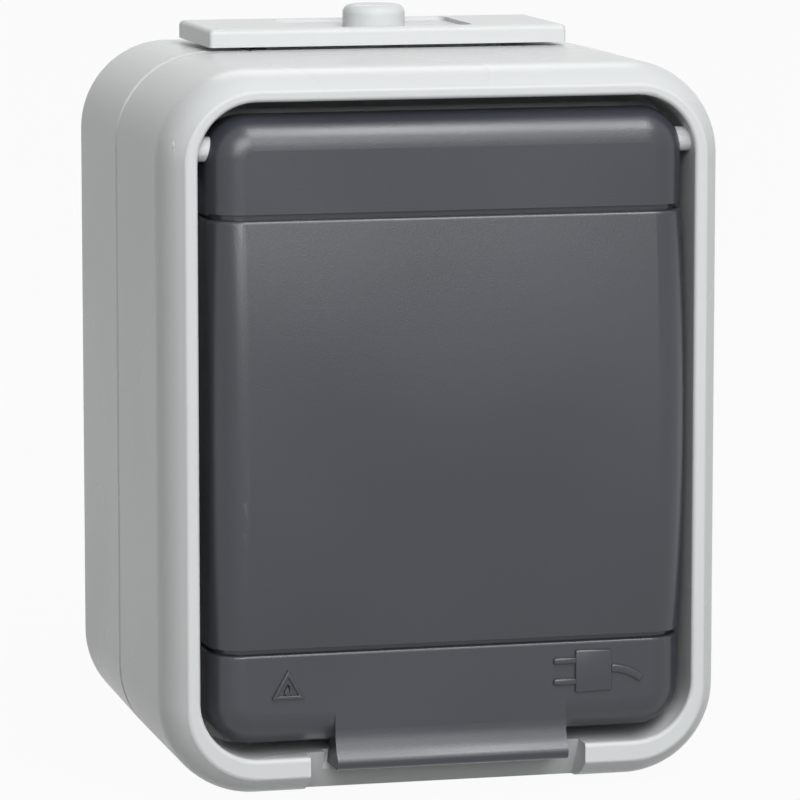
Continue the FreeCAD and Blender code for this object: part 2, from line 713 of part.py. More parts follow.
# Lid: a shallow tray with a hinge barrel along its top, an arched panel and a lip for the finger
def make_lid():
    body = new_body("lid")
    face = new_sketch(body, "XY_Plane", "lid_outline", "lid_back")
    rounded_rectangle(face, "-lid_half_width", "lid_half_width", "-lid_bottom", "lid_top", "lid_corner")
    block = pad(body, face, "lid_block", "lid_front - lid_back")
    round_edges(body, block, "lid_front_round", "lid_barrel", lambda p: near(p.z, "lid_front"))

    # Behind the hinge, everything above the axis is cut back to a barrel about it
    behind = new_sketch(body, "YZ_Plane", "lid_barrel_back")
    outline(behind, [
        ("lid_top", "hinge_depth"),
        ("hinge_height", "hinge_depth - lid_barrel", "lid_barrel", -1),
        ("hinge_height", "lid_back - lid_wall"),
        ("lid_top + lid_wall", "lid_back - lid_wall"),
        ("lid_top + lid_wall", "hinge_depth"),
    ])
    pocket(body, behind, "lid_barrel_cut", "2 * lid_half_width + lid_wall", middle=True)

    # The panel is straight across and arched upwards, and its long edges are rounded as the lid's
    panel = new_sketch(body, "YZ_Plane", "lid_panel")
    outline(panel, [
        ("panel_top", "lid_front - lid_barrel"),
        ("panel_top", "lid_front + panel_edge_rise"),
        ("-panel_bottom", "lid_front + panel_edge_rise", "arch_radius", 1),
        ("-panel_bottom", "lid_front - lid_barrel"),
    ])
    arched = pad(body, panel, "lid_panel_arch", "2 * lid_half_width", middle=True)
    round_edges(body, arched, "lid_panel_round", "lid_barrel",
                lambda p: p.z > value("lid_front + panel_edge_rise") and near(abs(p.x), "lid_half_width"))

    # A groove runs all round the lid above and below the panel, with its lower edge rounded
    for name, height in (("upper", "panel_top"), ("lower", "-panel_bottom - groove_width")):
        groove = new_sketch(body, "XZ_Plane", f"lid_{name}_groove", f"-({height})")
        groove_section(groove)
        cut = pocket(body, groove, f"lid_{name}_groove_cut", "groove_width")
        round_edges(body, cut, f"lid_{name}_groove_round", "groove_round",
                    lambda p, height=height: near(p.y, height) and outside_groove(p))

    # The lip leaves the lid's front in a hollow arc and ends in a round nose
    lip = new_sketch(body, "YZ_Plane", "lid_lip")
    outline(lip, [
        ("-lip_top", "lid_front"),
        ("-lip_nose_start", "lip_nose_front", "lip_flow_radius", -1),
        ("-lip_bottom", "lip_nose_back", "lip_nose_radius", 1),
        ("-lip_bottom", "lip_nose_back - lip_thickness"),
        ("-lid_bottom + lid_wall", "lid_inner"),
        ("-lip_top", "lid_inner"),
    ])
    pad(body, lip, "lid_lip_block", "2 * lip_half_width", middle=True)

    hollow = new_sketch(body, "XY_Plane", "lid_hollow", "lid_back")
    rounded_rectangle(hollow, "-lid_half_width + lid_wall", "lid_half_width - lid_wall",
                      "-lid_bottom + lid_wall", "lid_cavity_top", "lid_corner - lid_wall")
    pocket(body, hollow, "lid_hollow_cut", "lid_inner - lid_back", reverse=True)

    collar = new_sketch(body, "XY_Plane", "lid_collar", "lid_inner")
    circle(collar, "0", "0", "collar_outer")
    circle(collar, "0", "0", "collar_inner")
    pad(body, collar, "lid_collar_ring", "collar_reach", reverse=True)

    bore = new_sketch(body, "YZ_Plane", "lid_bore")
    circle(bore, "hinge_height", "hinge_depth", "pin_radius + pin_running_gap")
    pocket(body, bore, "lid_pin_bore", "2 * lid_half_width + lid_wall", middle=True)

    # The spring's room is round the pin at the front, and open to the back and the hollow
    slot = new_sketch(body, "YZ_Plane", "lid_spring_slot", "spring_room_start")
    reach = "spring_coil_radius + spring_wire_radius + spring_room_gap"
    outline(slot, [
        ("lid_cavity_top - lid_wall", "lid_back - lid_wall"),
        (f"hinge_height + {reach}", "lid_back - lid_wall"),
        (f"hinge_height + {reach}", "hinge_depth"),
        ("hinge_height", f"hinge_depth + {reach}", reach, 1),
        (f"hinge_height - ({reach})", "hinge_depth", reach, 1),
        ("lid_cavity_top - lid_wall", "hinge_depth"),
    ])
    pocket(body, slot, "lid_spring_room", "spring_room_width", reverse=True)
    # A narrow slot below it takes the leg that pulls the lid shut
    leg_room = "spring_wire_radius + spring_leg_play"
    leg = new_sketch(body, "YZ_Plane", "lid_leg_slot", f"spring_end - ({leg_room})")
    rectangle(leg, f"hinge_height - spring_lid_leg - ({leg_room})", "hinge_height",
              f"hinge_depth + spring_coil_radius - ({leg_room})",
              f"hinge_depth + spring_coil_radius + {leg_room}")
    pocket(body, leg, "lid_leg_room", f"2 * ({leg_room})", reverse=True)
    return body



def make_hinge_pins():
    pins = []
    seat = "window_half_width + pin_seat"
    for name, start, reach in (("hinge_pin_left", f"-({seat})", "long_pin_reach"),
                               ("hinge_pin_right", f"{seat} - pin_seat - short_pin_reach", "short_pin_reach")):
        body = new_body(name)
        section = new_sketch(body, "YZ_Plane", name + "_section", start)
        circle(section, "hinge_height", "hinge_depth", "pin_radius")
        pad(body, section, name + "_rod", f"{reach} + pin_seat")
        pins.append(body)
    return pins


# Torsion spring: a coil about the left pin, one long leg on the deck and a short one in the lid
def make_lid_spring():
    radius = value("spring_coil_radius")
    wire = value("spring_wire_radius")
    slant = math.radians(value("spring_slant"))
    helix = Part.makeHelix(value("spring_pitch"), value("spring_length"), radius)
    first = helix.Vertexes[0].Point
    last = helix.Vertexes[-1].Point
    foot = first - Vector(0, value("spring_deck_leg"), 0)
    turned = math.radians(180 - value("spring_slant"))
    onward = Vector(-math.sin(turned), math.cos(turned), 0)
    tip = last + onward * value("spring_lid_leg")
    deck_leg = Part.LineSegment(foot, first).toShape()
    lid_leg = Part.LineSegment(last, tip).toShape()
    path = Part.Wire([deck_leg] + helix.Edges + [lid_leg])
    profile = Part.Wire([Part.Circle(foot, Vector(0, 1, 0), wire).toShape()])
    coil = path.makePipeShell([profile], True, True)
    spring = doc.addObject("Part::Feature", "lid_spring")
    spring.Shape = coil
    spring.Label = "lid_spring"
    # The coil's axis lies along the hinge, and its long leg slants back to the deck
    lying = Rotation(Vector(0, math.sin(slant), -math.cos(slant)),
                     Vector(0, math.cos(slant), math.sin(slant)), Vector(1, 0, 0), "XYZ")
    spring.Placement = UPRIGHT.multiply(Placement(
        Vector(-value("spring_start"), value("hinge_height"), value("hinge_depth")), lying))
    return spring


def make_ring(name, inner, outer, back, thickness):
    body = new_body(name)
    section = new_sketch(body, "XY_Plane", name + "_section", back)
    circle(section, "0", "0", outer)
    circle(section, "0", "0", inner)
    pad(body, section, name + "_ring", thickness)
    return body


# Lid seal: a soft ring with a groove that grips the lid's collar
def make_lid_seal():
    body = new_body("lid_seal")
    section = new_sketch(body, "XZ_Plane", "lid_seal_section")
    outline(section, [
        ("collar_outer + lid_seal_skirt", "deck_depth + lid_seal_gap"),
        ("collar_outer + lid_seal_skirt", "collar_end + lid_seal_grip"),
        ("collar_outer", "collar_end + lid_seal_grip"),
        ("collar_outer", "collar_end"),
        ("collar_inner", "collar_end"),
        ("collar_inner", "collar_end + lid_seal_grip"),
        ("collar_inner - lid_seal_skirt", "collar_end + lid_seal_grip"),
        ("collar_inner - lid_seal_skirt", "deck_depth + lid_seal_gap"),
    ])
    spin("Revolution", body, section, "lid_seal_ring", "V_Axis")
    return body


# Socket face: a round flange behind the deck, a bezel through its hole and the plug recess
def make_socket_face():
    body = new_body("socket_face")
    section = new_sketch(body, "XZ_Plane", "recess_section")
    bezel = "deck_hole_radius - bezel_gap"
    outline(section, [
        ("recess_outer", "recess_back"),
        ("recess_outer", "flange_back"),
        ("flange_radius", "flange_back"),
        ("flange_radius", "flange_front"),
        (bezel, "flange_front"),
        (bezel, "bezel_front - mouth_round"),
        (f"{bezel} - mouth_round", "bezel_front", "mouth_round", 1),
        ("recess_radius + mouth_round", "bezel_front"),
        ("recess_radius", "bezel_front - mouth_round", "mouth_round", 1),
        ("recess_radius", "recess_bottom"),
        ("0", "recess_bottom"),
        ("0", "recess_back"),
    ])
    spin("Revolution", body, section, "recess_cup", "V_Axis")

    guides = new_sketch(body, "XY_Plane", "recess_guides", "recess_bottom")
    half = "guide_width / 2"
    for side, turn in (("", 1), ("-", -1)):
        inner = f"{side}(recess_radius - guide_reach)"
        outer = f"{side}(recess_radius + recess_wall / 2)"
        rectangle(guides, *((inner, outer) if turn > 0 else (outer, inner)), f"-{half}", half)
    pad(body, guides, "recess_guide_ribs", "recess_depth - guide_lead")

    holes = new_sketch(body, "XY_Plane", "recess_holes", "recess_bottom")
    for x in ("-pin_pitch / 2", "pin_pitch / 2"):
        circle(holes, x, "0", "plug_hole_radius")
    circle(holes, "0", "0", "screw_shank_radius + screw_hole_clearance")
    pocket(body, holes, "recess_floor_holes", "recess_floor")

    slots = new_sketch(body, "XY_Plane", "recess_bow_slots", "flange_back")
    for side in ("", "-"):
        near_edge = f"{side}(recess_radius - bow_slot_inset)"
        far_edge = f"{side}(recess_outer + recess_wall)"
        low, high = (near_edge, far_edge) if side == "" else (far_edge, near_edge)
        rectangle(slots, "-bow_slot_half_width", "bow_slot_half_width", low, high)
    pocket(body, slots, "recess_bow_openings", "flange_back - recess_bottom - bow_slot_sill")
    return body


# Contact base: a moulded block with a chamber for each contact and ears for its screws
def make_contact_base():
    body = new_body("contact_base")
    half = "base_size / 2"
    face = new_sketch(body, "XY_Plane", "base_outline", "base_back")
    rounded_rectangle(face, f"-{half}", half, f"-{half}", half, "base_corner")
    pad(body, face, "base_block", "base_thickness")
    ears = new_sketch(body, "XY_Plane", "base_ears", "base_back")
    rounded_rectangle(ears, "-ear_reach", "ear_reach", "-ear_half_height", "ear_half_height",
                      "ear_corner")
    pad(body, ears, "base_ear_bar", "ear_thickness")
    ear_seats = new_sketch(body, "XY_Plane", "base_ear_seats", "base_front")
    for x in ("-ear_screw_x", "ear_screw_x"):
        circle(ear_seats, x, "0", "screw_head_radius + screw_hole_clearance")
    pocket(body, ear_seats, "base_ear_reliefs", "base_front - ear_seat")
    ear_holes = new_sketch(body, "XY_Plane", "base_ear_holes", "ear_seat")
    for x in ("-ear_screw_x", "ear_screw_x"):
        circle(ear_holes, x, "0", "screw_shank_radius + screw_hole_clearance")
    pocket(body, ear_holes, "base_ear_bores", "ear_seat - base_back")

    chambers = new_sketch(body, "XY_Plane", "base_chambers", "base_front")
    for side in ("-", ""):
        left = f"{side}pin_pitch / 2 - chamber_half_width"
        right = f"{side}pin_pitch / 2 + chamber_half_width"
        rectangle(chambers, left, right, "-chamber_down", "chamber_up")
    pocket(body, chambers, "base_contact_chambers", "chamber_depth")
    earth = new_sketch(body, "XY_Plane", "base_earth_chamber", "base_front")
    rectangle(earth, "earth_room_left", "pin_pitch / 2 + chamber_half_width",
              "clamp_centre - chamber_half_width", "clamp_centre + chamber_half_width")
    pocket(body, earth, "base_earth_room", "chamber_depth")

    channel = new_sketch(body, "XY_Plane", "base_bow_channel", "base_front")
    rectangle(channel, "-bow_half_width - bow_clearance", "bow_half_width + bow_clearance",
              f"-{half} - bow_thickness", f"{half} + bow_thickness")
    pocket(body, channel, "base_bow_groove", "bow_thickness")
    centre = new_sketch(body, "XY_Plane", "base_centre_hole", "base_front")
    circle(centre, "0", "0", "screw_shank_radius")
    pocket(body, centre, "base_centre_bore", "base_thickness - base_centre_floor")

    wires = new_sketch(body, "XZ_Plane", "base_wire_holes", "0")
    for x in ("-pin_pitch / 2", "pin_pitch / 2"):
        circle(wires, x, "wire_depth", "wire_hole_radius")
    pocket(body, wires, "base_lower_wire_holes", "base_size / 2 + base_end_wall", reverse=True)
    upper = new_sketch(body, "XZ_Plane", "base_earth_wire_hole", "-clamp_centre")
    circle(upper, "pin_pitch / 2", "wire_depth", "wire_hole_radius")
    pocket(body, upper, "base_upper_wire_hole", "base_size / 2")
    return body


# Plug contact: a strap on the chamber floor that carries a split sleeve for the plug's pin
def make_contact(name, x):
    body = new_body(name)
    strap = new_sketch(body, "XY_Plane", name + "_strap", "chamber_floor")
    rectangle(strap, f"{x} - strap_half_width", f"{x} + strap_half_width",
              "-clamp_centre - clamp_half_width", "strap_half_width")
    pad(body, strap, name + "_strip", "strap_thickness")
    sleeve = new_sketch(body, "XY_Plane", name + "_sleeve", "strap_top")
    circle(sleeve, x, "0", "sleeve_outer")
    circle(sleeve, x, "0", "sleeve_inner")
    pad(body, sleeve, name + "_tube", "sleeve_height")
    slit = new_sketch(body, "YZ_Plane", name + "_slit", x)
    rectangle(slit, "-sleeve_slit / 2", "sleeve_slit / 2",
              "strap_top + sleeve_slit_rise", "strap_top + sleeve_height + strap_thickness")
    slitted = pocket(body, slit, name + "_slit_cut", "2 * sleeve_outer + strap_thickness", middle=True)
    round_edges(body, slitted, name + "_mouth", "sleeve_mouth_round",
                lambda p: near(p.z, "strap_top + sleeve_height")
                and math.hypot(p.x - value(x), p.y) < value("(sleeve_inner + sleeve_outer) / 2"))
    return body


def make_clamp(name, x, y, back, height):
    """A brass block with a screw bore from the front and a wire bore from its end."""
    body = new_body(name)
    block = new_sketch(body, "XY_Plane", name + "_outline", back)
    half = "clamp_half_width"
    rectangle(block, f"{x} - {half}", f"{x} + {half}", f"{y} - {half}", f"{y} + {half}")
    solid = pad(body, block, name + "_block", height)
    bevel_edges(body, solid, name + "_edge", "clamp_bevel", lambda p: near(p.z, f"{back} + {height}"))
    bore = new_sketch(body, "XY_Plane", name + "_screw_bore", f"{back} + {height}")
    circle(bore, x, y, "clamp_screw_radius")
    pocket(body, bore, name + "_thread", "clamp_thread_depth")
    wire = new_sketch(body, "XZ_Plane", name + "_wire_bore", f"-({y})")
    circle(wire, x, "wire_depth", "clamp_wire_radius")
    pocket(body, wire, name + "_wire_way", "3 * clamp_half_width", middle=True)
    return body


# Earth bow: a strip across the back of the recess whose ends fold over into its side slots
def make_earth_bow():
    body = new_body("earth_bow")
    strip = new_sketch(body, "XY_Plane", "bow_strip", "base_front - bow_thickness")
    leg = "bow_leg"
    outer = f"{leg} + bow_thickness"
    rectangle(strip, "-bow_half_width", "bow_half_width", f"-({outer})", outer)
    pad(body, strip, "bow_strip_plate", "bow_thickness")
    centre = new_sketch(body, "XY_Plane", "bow_centre_hole", "base_front")
    circle(centre, "0", "0", "screw_shank_radius + screw_hole_clearance")
    pocket(body, centre, "bow_screw_hole", "bow_thickness")

    # Each end rises outside the recess, turns over in a hairpin and bulges into the slot
    for side, turn in (("", 1), ("-", -1)):
        end = new_sketch(body, "YZ_Plane", "bow_end_up" if turn > 0 else "bow_end_down")
        hairpin = "bow_turn_radius"
        inner_leg = f"{outer} - 2 * {hairpin}"
        top = f"bow_top_depth - {hairpin}"
        thin = "bow_thickness"
        outline(end, [
            (f"{side}({leg})", "base_front"),
            (f"{side}({outer})", "base_front"),
            (f"{side}({outer})", top),
            (f"{side}({outer} - {hairpin})", "bow_top_depth", hairpin, turn),
            (f"{side}({inner_leg})", top, hairpin, turn),
            (f"{side}(bow_bulge)", "bow_bulge_depth"),
            (f"{side}({inner_leg} - {thin})", "bow_tip_depth"),
            (f"{side}({inner_leg})", "bow_tip_depth"),
            (f"{side}(bow_bulge + {thin})", "bow_bulge_depth"),
            (f"{side}({inner_leg} + {thin})", top),
            (f"{side}({outer} - {hairpin})", f"bow_top_depth - {thin}", f"{hairpin} - {thin}", -turn),
            (f"{side}({leg})", top, f"{hairpin} - {thin}", -turn),
        ])
        pad(body, end, "bow_spring_up" if turn > 0 else "bow_spring_down",
            "2 * bow_leg_half_width", middle=True)

    tab = new_sketch(body, "XY_Plane", "bow_tab", "clamp_front")
    rectangle(tab, "bow_half_width - bow_thickness", "pin_pitch / 2 + clamp_half_width",
              "clamp_centre - clamp_half_width", "clamp_centre + clamp_half_width")
    pad(body, tab, "bow_tab_plate", "bow_thickness")
    riser = new_sketch(body, "XY_Plane", "bow_riser", "clamp_front")
    rectangle(riser, "bow_half_width - bow_thickness", "bow_half_width",
              "clamp_centre - clamp_half_width", "clamp_centre + clamp_half_width")
    pad(body, riser, "bow_riser_plate", "base_front - clamp_front")
    tab_hole = new_sketch(body, "XY_Plane", "bow_tab_hole", "clamp_front + bow_thickness")
    circle(tab_hole, "pin_pitch / 2", "clamp_centre", "clamp_screw_radius + clamp_screw_clearance")
    pocket(body, tab_hole, "bow_tab_bore", "bow_thickness")
    return body


def make_screw(name, x, y, seat, shank_length, shank="screw_shank_radius",
               head="screw_head_radius", height="screw_head_height"):
    """A cheese-head screw whose head rests on a seat and whose shank reaches back from it."""
    body = new_body(name)
    section = new_sketch(body, "XZ_Plane", name + "_section")
    outline(section, [
        ("0", f"{seat} - ({shank_length})"),
        (shank, f"{seat} - ({shank_length})"),
        (shank, seat),
        (head, seat),
        (head, f"{seat} + {height} - screw_head_round"),
        (f"{head} - screw_head_round", f"{seat} + {height}", "screw_head_round", 1),
        ("0", f"{seat} + {height}"),
    ])
    spin("Revolution", body, section, name + "_turned", "V_Axis")
    slot = new_sketch(body, "XY_Plane", name + "_slot", f"{seat} + {height}")
    rectangle(slot, f"-2 * {head}", f"2 * {head}", "-screw_slot_half_width", "screw_slot_half_width")
    pocket(body, slot, name + "_slot_cut", f"{height} / 2")
    body.Placement = Placement(Vector(value(x), 0, value(y)), Rotation(Vector(1, 0, 0), 90))
    body.setExpression(".Placement.Base.x", bind(x))
    body.setExpression(".Placement.Base.z", bind(y))
    return body


def make_group(name, members):
    group = doc.addObject("Part::Compound", name)
    group.Label = name
    group.Links = members
    return group


def make_screws():
    sink = "deck_depth - screw_head_sink"
    housing = [make_screw(f"housing_screw_{n}", x, y, sink,
                          f"{sink} - entry_neck_front + screw_grip - screw_end_gap")
               for n, (x, y) in enumerate(housing_screw_places(), 1)]
    ears = [make_screw(f"insert_screw_{n}", x, "0", "ear_seat",
                       "ear_seat - back_wall - screw_end_gap")
            for n, x in enumerate(("-ear_screw_x", "ear_screw_x"), 1)]
    face = make_screw("face_screw", "0", "0", "recess_bottom",
                      "recess_bottom - base_back - face_screw_end_gap")
    clamp_kind = dict(shank="clamp_screw_radius", head="clamp_head_radius", height="clamp_head_height")
    reach = "clamp_thread_depth - clamp_screw_end_gap"
    clamps = [
        make_screw("clamp_screw_1", "-pin_pitch / 2", "-clamp_centre", "clamp_front", reach, **clamp_kind),
        make_screw("clamp_screw_2", "pin_pitch / 2", "-clamp_centre", "clamp_front", reach, **clamp_kind),
        make_screw("clamp_screw_3", "pin_pitch / 2", "clamp_centre",
                   "clamp_front + bow_thickness", f"{reach} + bow_thickness", **clamp_kind),
    ]
    return [
        make_group("housing_screws", housing),
        make_group("insert_screws", ears),
        face,
        make_group("clamp_screws", clamps),
    ]


def make_grommets():
    members = []
    for number, (x, y) in enumerate(wall_hole_places(), 1):
        body = new_body(f"wall_grommet_{number}")
        ring = new_sketch(body, "XY_Plane", f"grommet_ring_{number}", "back_wall")
        circle(ring, x, y, "grommet_radius")
        circle(ring, x, y, "wall_hole_radius")
        pad(body, ring, f"grommet_pad_{number}", "grommet_height")
        members.append(body)
    return make_group("wall_grommets", members)


nodes = [make_back_box(), make_front_housing(), make_housing_seal(), make_entry_plate()]
nodes.append(make_lid())
nodes += make_hinge_pins()
nodes.append(make_lid_spring())
nodes.append(make_lid_seal())
nodes.append(make_ring("face_seal", "deck_hole_radius + face_seal_gap",
                       "flange_radius - face_seal_margin", "flange_front", "face_seal_thickness"))
nodes += [make_socket_face(), make_contact_base()]
nodes.append(make_contact("contact_live", "-pin_pitch / 2"))
nodes.append(make_contact("contact_neutral", "pin_pitch / 2"))
nodes.append(make_clamp("clamp_live", "-pin_pitch / 2", "-clamp_centre", "strap_top", "clamp_height"))
nodes.append(make_clamp("clamp_neutral", "pin_pitch / 2", "-clamp_centre", "strap_top", "clamp_height"))
nodes.append(make_clamp("clamp_earth", "pin_pitch / 2", "clamp_centre", "strap_top", "clamp_height"))
nodes.append(make_earth_bow())
nodes += make_screws()
nodes.append(make_grommets())
doc.recompute()

# Nothing is written unless every object is sound and every cut has removed something
def has_shape(thing):
    shape = getattr(thing, "Shape", None)
    return shape is not None and not shape.isNull()


REMOVING = ("Pocket", "Groove", "SubtractivePipe", "Chamfer")
ADDING = ("Pad", "Revolution")


def find_faults():
    faults = [f"{thing.Label}: {thing.State} {thing.getStatusString()}" for thing in doc.Objects
              if {"Invalid", "Error"} & set(thing.State)]
    for thing in doc.Objects:
        base = getattr(thing, "BaseFeature", None)
        if base is None or not (has_shape(thing) and has_shape(base)):
            continue
        change = thing.Shape.Volume - base.Shape.Volume
        kind = thing.TypeId.split("::")[1]
        if kind in REMOVING and change > -1e-6:
            faults.append(f"{thing.Label} removes nothing")
        if kind in ADDING and change < 1e-6:
            faults.append(f"{thing.Label} adds nothing")
    for node in nodes:
        if not has_shape(node) or not node.Shape.isValid() or node.Shape.Volume <= 0:
            faults.append(f"{node.Label}: the shape is empty or not valid")
        else:
            print(f"{node.Label:18s} solids {len(node.Shape.Solids)}  volume {node.Shape.Volume:9.1f}")
    return faults


faults = find_faults()
if faults:
    raise SystemExit("\n".join(faults))

os.makedirs("parts", exist_ok=True)
for node in nodes:
    node.Shape.exportStep(f"parts/{node.Label}.step")
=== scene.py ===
# %% [markdown]
# # An outdoor socket, dressed for a product photograph
# The part is a small grey box for an outside wall, with a dark lid that shuts over a round
# recess. Its solids come ready made, in metres, in one frame: x to the right, z up, and y from
# the viewer into the wall. This lesson gives each one the plastic, rubber, brass or steel that
# the real one has. It adds the small raised signs on the lid and the root of the lid's lip, and
# puts dressed hinge pins and a copy of the spring in place of the originals. All the other
# shapes stay as they come. Then it sets up a camera, a floor and soft lamps.

# %% Load the solids
import math

import bmesh
import bpy
from mathutils import Matrix, Vector


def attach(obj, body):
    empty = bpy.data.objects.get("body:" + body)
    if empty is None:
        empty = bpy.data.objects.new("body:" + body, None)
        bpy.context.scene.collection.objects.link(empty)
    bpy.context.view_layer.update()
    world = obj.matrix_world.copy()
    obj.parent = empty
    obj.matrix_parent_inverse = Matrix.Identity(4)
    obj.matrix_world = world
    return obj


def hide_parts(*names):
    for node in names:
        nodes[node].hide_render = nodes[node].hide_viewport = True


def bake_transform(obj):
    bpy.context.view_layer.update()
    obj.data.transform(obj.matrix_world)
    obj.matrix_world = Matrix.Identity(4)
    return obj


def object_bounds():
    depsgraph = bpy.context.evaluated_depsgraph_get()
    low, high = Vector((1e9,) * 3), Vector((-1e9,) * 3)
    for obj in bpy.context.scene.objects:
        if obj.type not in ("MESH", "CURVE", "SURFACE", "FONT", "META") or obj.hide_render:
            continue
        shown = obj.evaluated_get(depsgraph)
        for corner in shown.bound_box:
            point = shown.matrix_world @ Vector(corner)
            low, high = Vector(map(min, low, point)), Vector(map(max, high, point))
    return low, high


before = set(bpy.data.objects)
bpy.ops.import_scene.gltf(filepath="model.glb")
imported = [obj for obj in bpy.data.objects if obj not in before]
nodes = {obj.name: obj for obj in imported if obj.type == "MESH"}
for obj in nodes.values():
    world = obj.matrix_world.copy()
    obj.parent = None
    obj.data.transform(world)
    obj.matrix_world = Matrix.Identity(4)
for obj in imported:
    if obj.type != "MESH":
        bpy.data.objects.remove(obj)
lowest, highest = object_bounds()

# %% [markdown]
# ## How moulded plastic is built
# A moulded plastic looks plain, but three things give it away: a faint unevenness in its colour,
# a gloss that changes a little from place to place, and a skin that is never quite flat. So one
# function makes every plastic here from the same three parts: a slow noise that tints the
# colour, the same noise in the roughness, and a fine noise that bends the light as a bump.
# The slow noise has no finer octaves, because on a smooth pale wall they look like flakes.
# The noises read Object coordinates, so they stay fixed to the piece when the lid opens.

# %% Colours and small helpers
MM = 0.001
NOISE_LOW = 0.2
NOISE_HIGH = 0.8


def tone(red, green, blue):
    """A colour picked from a screen, 0 to 255, as the linear values that a shader works with."""
    shares = [value / 255 for value in (red, green, blue)]
    return [((c + 0.055) / 1.055) ** 2.4 if c > 10 / 255 else c / 12.92 for c in shares] + [1.0]


def new_material(name):
    """An empty node material with its shader, and a function that adds nodes."""
    material = bpy.data.materials.new(name)
    material.use_nodes = True
    tree = material.node_tree
    shader = tree.nodes["Principled BSDF"]

    def add(kind, **settings):
        node = tree.nodes.new(kind)
        for key, setting in settings.items():
            setattr(node, key, setting)
        return node

    return material, tree, shader, add


def spread(tree, add, source, low, high):
    """Map a noise to the range from low to high, without a crease at either end."""
    ramp = add("ShaderNodeMapRange", interpolation_type="SMOOTHERSTEP")
    tree.links.new(source, ramp.inputs["Value"])
    ends = {"From Min": NOISE_LOW, "From Max": NOISE_HIGH, "To Min": low, "To Max": high}
    for name, number in ends.items():
        ramp.inputs[name].default_value = number
    return ramp.outputs["Result"]


def object_noise(tree, add, per_mm, detail=3.0, stretch=(1, 1, 1)):
    """A noise with about that many features in each millimetre, fixed to the piece."""
    place = add("ShaderNodeTexCoord")
    scale = add("ShaderNodeMapping")
    scale.inputs["Scale"].default_value = [1000 * per_mm * part for part in stretch]
    noise = add("ShaderNodeTexNoise")
    noise.inputs["Scale"].default_value = 1.0
    noise.inputs["Detail"].default_value = detail
    tree.links.new(place.outputs["Object"], scale.inputs["Vector"])
    tree.links.new(scale.outputs["Vector"], noise.inputs["Vector"])
    return noise.outputs["Fac"]


def mixed_colour(tree, add, noise, first, second):
    """Two colours mixed by a noise. A colour Mix has its factor at input 0, the colours at 6 and 7."""
    mix = add("ShaderNodeMix", data_type="RGBA")
    mix.inputs[6].default_value = first
    mix.inputs[7].default_value = second
    tree.links.new(spread(tree, add, noise, 0, 1), mix.inputs[0])
    return mix.outputs[2]


# %% A moulded plastic
TINTS_PER_MM = 0.05


def moulded(name, colour, roughness, grain_per_mm, grain_height, tint=0.03, gloss_change=0.04,
            shine=0.5, grain_detail=4.0):
    """Moulded plastic or rubber: an uneven tint, an uneven gloss and a fine bump."""
    material, tree, shader, add = new_material(name)
    shader.inputs["Specular IOR Level"].default_value = shine
    slow = object_noise(tree, add, TINTS_PER_MM, detail=0.0)
    darker = [c * (1 - tint) for c in colour[:3]] + [1]
    lighter = [min(1, c * (1 + tint)) for c in colour[:3]] + [1]
    tree.links.new(mixed_colour(tree, add, slow, darker, lighter), shader.inputs["Base Color"])
    tree.links.new(spread(tree, add, slow, roughness - gloss_change, roughness + gloss_change),
                   shader.inputs["Roughness"])
    fine = object_noise(tree, add, grain_per_mm, detail=grain_detail)
    bump = add("ShaderNodeBump")
    bump.inputs["Strength"].default_value = 1.0
    bump.inputs["Distance"].default_value = grain_height * MM
    tree.links.new(fine, bump.inputs["Height"])
    tree.links.new(bump.outputs["Normal"], shader.inputs["Normal"])
    return material


def dress(material, *names):
    """Give a material to solids by name."""
    for name in names:
        piece = nodes[name]
        piece.data.materials.clear()
        piece.data.materials.append(material)
    print(material.name, "on", ", ".join(names))


# %% [markdown]
# ## The light grey housing
# The box is a smooth thermoplastic, light grey with hardly any colour, polished enough that a
# lamp draws soft streaks along its rounded edges. Its bump is very low and slow, like the slight
# orange peel of a polished mould. The cable entry and the two hinge pins are the same plastic.

# %% Grey plastics
housing_plastic = moulded("housing_plastic", tone(209, 212, 212), roughness=0.28, grain_per_mm=0.35,
                          grain_height=0.0015, tint=0.006, gloss_change=0.015, shine=0.13,
                          grain_detail=0.0)
dress(housing_plastic, "back_box", "front_housing", "entry_plate", "hinge_pin_left", "hinge_pin_right")
insert_plastic = moulded("insert_plastic", tone(216, 217, 215), roughness=0.34, grain_per_mm=1.2,
                         grain_height=0.006, tint=0.012)
dress(insert_plastic, "socket_face")
base_plastic = moulded("base_plastic", tone(205, 201, 190), roughness=0.55, grain_per_mm=2.0,
                       grain_height=0.02, tint=0.03)
dress(base_plastic, "contact_base")

# %% [markdown]
# ## The dark lid
# The lid is a blue-grey thermoplastic with a spark-eroded skin: tiny pits, about six to a
# millimetre, that spread each highlight into a soft sheen. The pits are a noise bump. A second,
# slower noise in the roughness keeps the wide flat panel from looking like paint.

# %% Lid plastic
lid_plastic = moulded("lid_plastic", tone(52, 55, 62), roughness=0.31, grain_per_mm=6.0,
                      grain_height=0.018, tint=0.04, gloss_change=0.03, shine=0.6)
dress(lid_plastic, "lid")

# %% [markdown]
# ## Rubber, brass and steel
# The seals are matt black rubber. The contacts are brass, which is a metal, so its colour sits
# in its reflections and not in a painted surface. The screws, the earth bow and the spring are
# steel. Rolled strip and drawn wire keep fine lines from the tool, so the metals stretch their
# noise a long way in one direction before it reaches the roughness and the bump.

# %% Rubber and metals
seal_rubber = moulded("seal_rubber", tone(34, 34, 35), roughness=0.72, grain_per_mm=2.5,
                      grain_height=0.03, tint=0.1)
dress(seal_rubber, "housing_seal", "face_seal", "lid_seal", "wall_grommets")
DULL_PATCHES_PER_MM = 0.3
DULL_SHARE = 0.88
LINES_PER_MM = 6.0
LINE_GLOSS = 0.08
LINE_HEIGHT = 0.004


